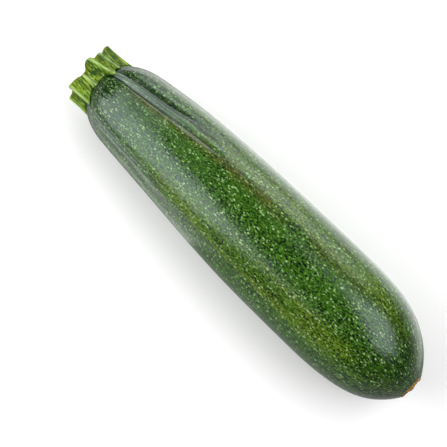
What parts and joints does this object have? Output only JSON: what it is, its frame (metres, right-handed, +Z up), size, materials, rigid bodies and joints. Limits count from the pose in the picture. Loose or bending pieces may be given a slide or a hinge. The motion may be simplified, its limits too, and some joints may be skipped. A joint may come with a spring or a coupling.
{
  "type": "courgette",
  "caption": "Courgette lying on its belly: a long, gently ribbed fruit that tapers to a ridged cut stem, with a small corky flower scar at its blunt end.",
  "frame": {"origin": "middle of the bounding box's base, on the surface that the fruit lies on", "axes": "+X along the fruit, from its stem to its flower scar, and +Z up"},
  "size_m": [0.1952, 0.0501, 0.0498],
  "materials": {
    "skin": "satin",
    "stem": "satin",
    "cork": "matte"
  },
  "bodies": {
    "root": {"fruit": "skin", "stem": "stem", "blossom_scar": "cork"}
  },
  "joints": []
}
